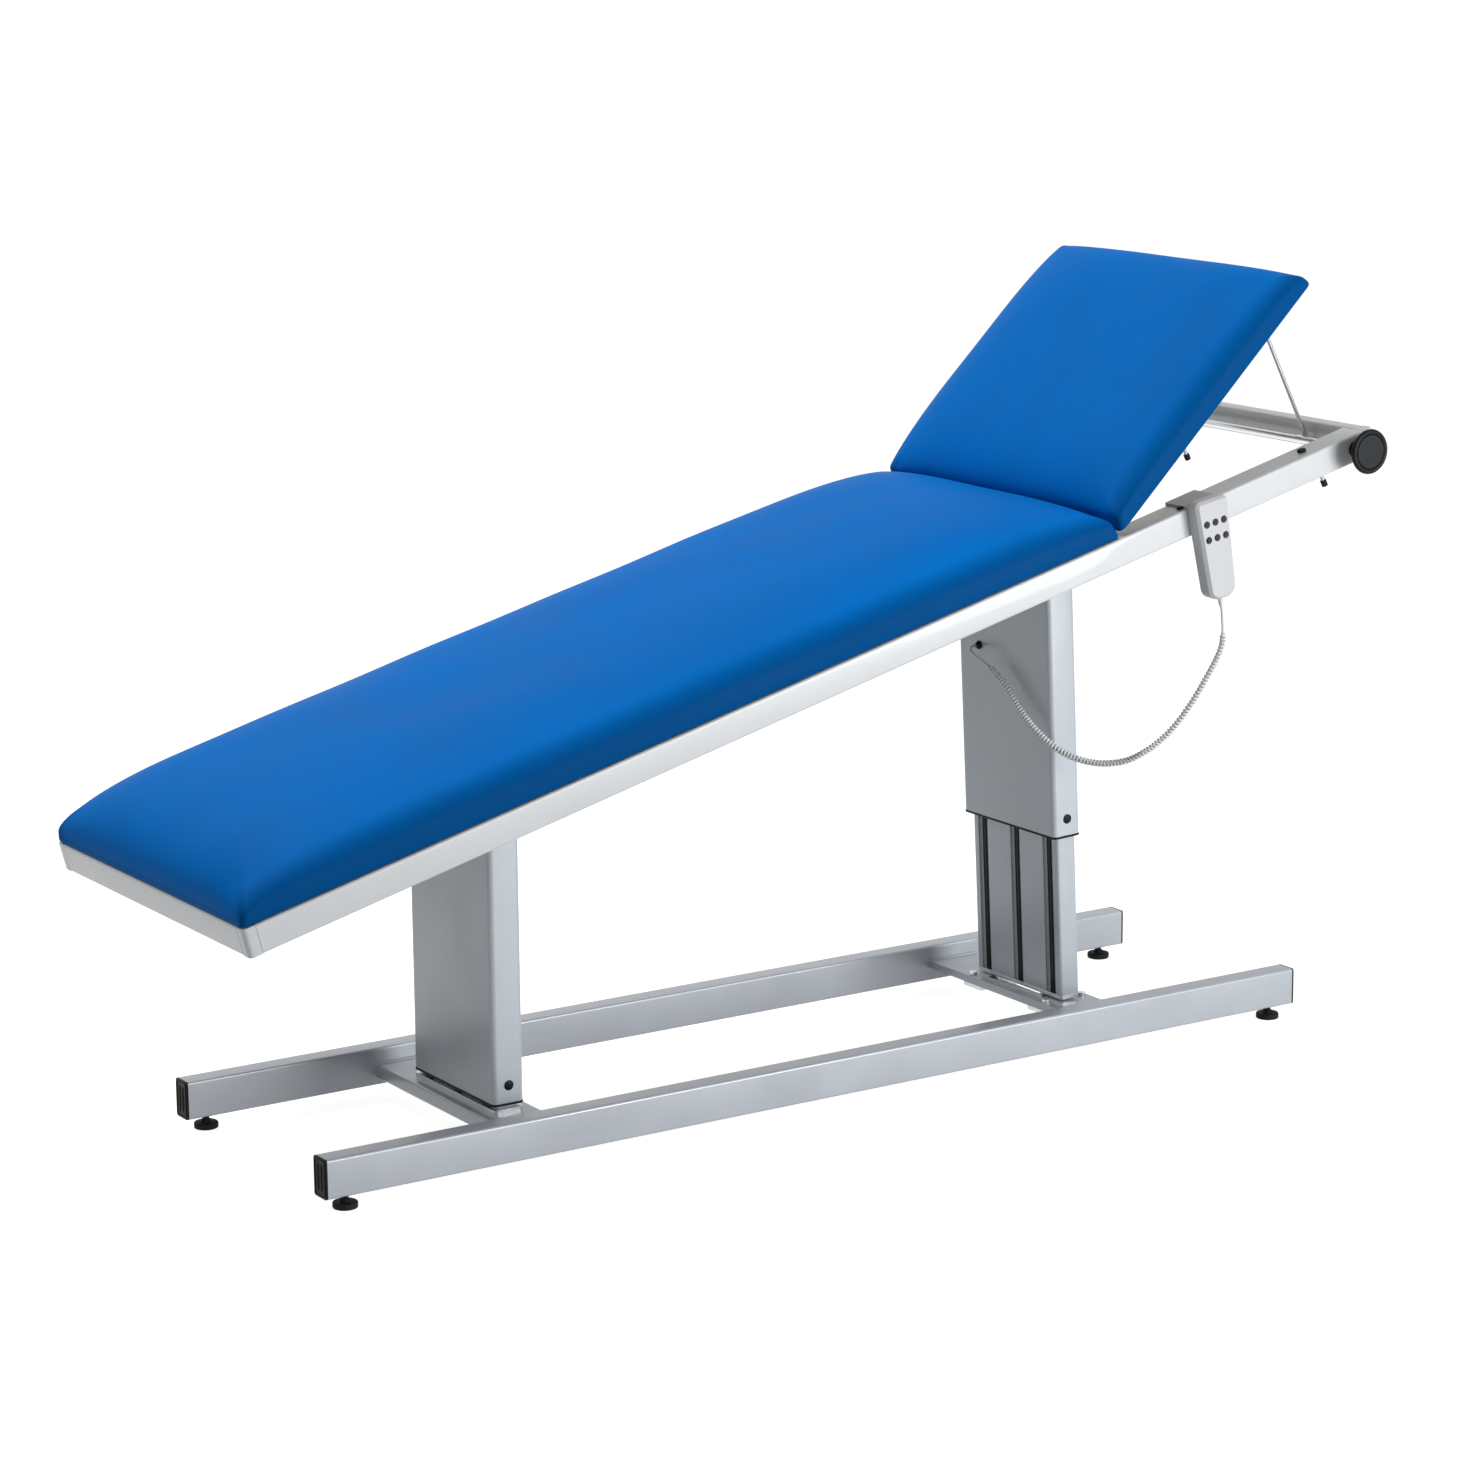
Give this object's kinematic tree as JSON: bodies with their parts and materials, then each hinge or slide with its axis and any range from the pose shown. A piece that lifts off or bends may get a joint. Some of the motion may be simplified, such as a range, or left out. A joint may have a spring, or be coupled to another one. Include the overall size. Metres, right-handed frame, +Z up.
{
  "type": "examination table",
  "caption": "Height-adjustable examination table: crowned two-part upholstery on a tilting frame, two telescopic lifting columns, floor rails on levelling feet and a handset.",
  "frame": {"origin": "on the floor under the middle of the table, the bottom centre of its box", "axes": "+X runs along the table to the head end, +Y across it to the side away from the handset, +Z up"},
  "size_m": [1.9828, 0.676, 1.2009],
  "materials": {
    "silver_paint": "satin silver-grey powder coat",
    "white_paint": "satin near-white powder coat",
    "column_aluminium": "satin silver-grey",
    "zinc_steel": "zinc-plated",
    "bright_steel": "bright drawn",
    "drive_housing": "matt black housing",
    "black_plastic": "satin black",
    "face_plastic": "satin charcoal",
    "foot_rubber": "matt black",
    "board_wood": "plain plywood",
    "blue_leatherette": "smooth blue leatherette with a soft sheen",
    "unit_plastic": "light grey",
    "handset_plastic": "light grey, fine texture",
    "cord_plastic": "light grey, satin",
    "button_plastic": "satin black"
  },
  "bodies": {
    "base": {"base_rails": "silver_paint", "base_rail_plugs": "black_plastic", "foot_inserts": "zinc_steel", "foot_cross_member": "silver_paint", "head_cross_member": "silver_paint", "foot_base_plate": "zinc_steel", "base_screws": "zinc_steel", "foot_inner_column": "column_aluminium", "foot_gearmotor": "drive_housing", "base_pivot_brackets": "zinc_steel", "base_pivot_pin": "zinc_steel"},
    "levelling_foot_1": {"levelling_foot_1": "foot_rubber"},
    "levelling_foot_2": {"levelling_foot_2": "foot_rubber"},
    "levelling_foot_3": {"levelling_foot_3": "foot_rubber"},
    "levelling_foot_4": {"levelling_foot_4": "foot_rubber"},
    "foot_lifter": {"foot_outer_column": "column_aluminium", "foot_collar": "black_plastic", "foot_cover_plugs": "black_plastic", "foot_column_cap": "zinc_steel", "foot_push_tube": "bright_steel"},
    "table_frame": {"side_rails": "white_paint", "end_rails": "white_paint", "frame_corners": "white_paint", "crossbars": "white_paint", "frame_pivot_pins": "zinc_steel", "main_board": "board_wood", "main_cushion": "blue_leatherette", "fixed_hinge_leaves": "zinc_steel", "rubber_pads": "foot_rubber", "clamp_bushes": "black_plastic", "control_unit": "unit_plastic", "handset_back": "handset_plastic", "handset_front": "handset_plastic", "cord_sleeve": "cord_plastic", "handset_cord": "cord_plastic"},
    "head_section": {"head_board": "board_wood", "head_cushion": "blue_leatherette", "moving_hinge_leaves": "zinc_steel", "stay_lugs": "zinc_steel"},
    "stays": {"stay_rods": "bright_steel", "stay_caps": "black_plastic"},
    "clamp": {"clamp_rod": "bright_steel", "hand_wheels": "black_plastic", "wheel_faces": "face_plastic"},
    "head_lifter": {"head_outer_column": "column_aluminium", "head_collar": "black_plastic", "head_cover_plugs": "black_plastic", "head_column_cap": "zinc_steel", "head_push_tube": "bright_steel", "cord_gland": "black_plastic"},
    "head_column_foot": {"head_inner_column": "column_aluminium", "head_foot_plate": "zinc_steel", "head_gearmotor": "drive_housing"},
    "button_all_up": {"button_all_up": "button_plastic"},
    "button_head_up": {"button_head_up": "button_plastic"},
    "button_foot_up": {"button_foot_up": "button_plastic"},
    "button_all_down": {"button_all_down": "button_plastic"},
    "button_head_down": {"button_head_down": "button_plastic"},
    "button_foot_down": {"button_foot_down": "button_plastic"}
  },
  "joints": [
    {"name": "foot_lift", "type": "slide", "parent": "base", "child": "foot_lifter", "axis": [0, 0, 1], "range_m": [0, 0.1]},
    {"name": "table_tilt", "type": "hinge", "parent": "foot_lifter", "child": "table_frame", "pos_m": [-0.482, 0, 0.541], "axis": [0, -1, 0], "range_deg": [-14.53, 0]},
    {"name": "head_column_lean", "type": "hinge", "parent": "table_frame", "child": "head_lifter", "pos_m": [0.50538, 0, 0.7969], "axis": [0, -1, 0], "range_deg": [0, 12.1]},
    {"name": "head_column_foot_lean", "type": "hinge", "parent": "base", "child": "head_column_foot", "pos_m": [0.538, 0, 0.04], "axis": [0, -1, 0], "range_deg": [-2.5, 0]},
    {"name": "head_section_tilt", "type": "hinge", "parent": "table_frame", "child": "head_section", "pos_m": [0.49039, 0, 0.81885], "axis": [0, -1, 0], "range_deg": [-29.74, 7]},
    {"name": "stay_swing", "type": "hinge", "parent": "head_section", "child": "stays", "pos_m": [0.8354, 0, 1.1447], "axis": [0, -1, 0], "range_deg": [-3.5, 14.2]},
    {"name": "clamp_turn", "type": "hinge", "parent": "table_frame", "child": "clamp", "pos_m": [0.93801, 0, 0.9173], "axis": [0, -1, 0], "range_deg": [0, 60]},
    {"name": "levelling_screw_1", "type": "slide", "parent": "base", "child": "levelling_foot_1", "axis": [0, 0, 1], "range_m": [-0.008, 0.004]},
    {"name": "levelling_screw_2", "type": "slide", "parent": "base", "child": "levelling_foot_2", "axis": [0, 0, 1], "range_m": [-0.008, 0.004]},
    {"name": "levelling_screw_3", "type": "slide", "parent": "base", "child": "levelling_foot_3", "axis": [0, 0, 1], "range_m": [-0.008, 0.004]},
    {"name": "levelling_screw_4", "type": "slide", "parent": "base", "child": "levelling_foot_4", "axis": [0, 0, 1], "range_m": [-0.008, 0.004]},
    {"name": "press_all_up", "type": "slide", "parent": "table_frame", "child": "button_all_up", "axis": [0, 1, 0], "range_m": [0, 0.001], "stiffness_N_per_m": 1200},
    {"name": "press_head_up", "type": "slide", "parent": "table_frame", "child": "button_head_up", "axis": [0, 1, 0], "range_m": [0, 0.001], "stiffness_N_per_m": 1200},
    {"name": "press_foot_up", "type": "slide", "parent": "table_frame", "child": "button_foot_up", "axis": [0, 1, 0], "range_m": [0, 0.001], "stiffness_N_per_m": 1200},
    {"name": "press_all_down", "type": "slide", "parent": "table_frame", "child": "button_all_down", "axis": [0, 1, 0], "range_m": [0, 0.001], "stiffness_N_per_m": 1200},
    {"name": "press_head_down", "type": "slide", "parent": "table_frame", "child": "button_head_down", "axis": [0, 1, 0], "range_m": [0, 0.001], "stiffness_N_per_m": 1200},
    {"name": "press_foot_down", "type": "slide", "parent": "table_frame", "child": "button_foot_down", "axis": [0, 1, 0], "range_m": [0, 0.001], "stiffness_N_per_m": 1200}
  ],
  "couplings": [
    {"joint": "head_column_lean", "follows": "table_tilt", "ratio": -0.83015},
    {"joint": "head_column_foot_lean", "follows": "table_tilt", "ratio": 0.16985},
    {"joint": "stay_swing", "follows": "head_section_tilt", "ratio": -0.47}
  ]
}
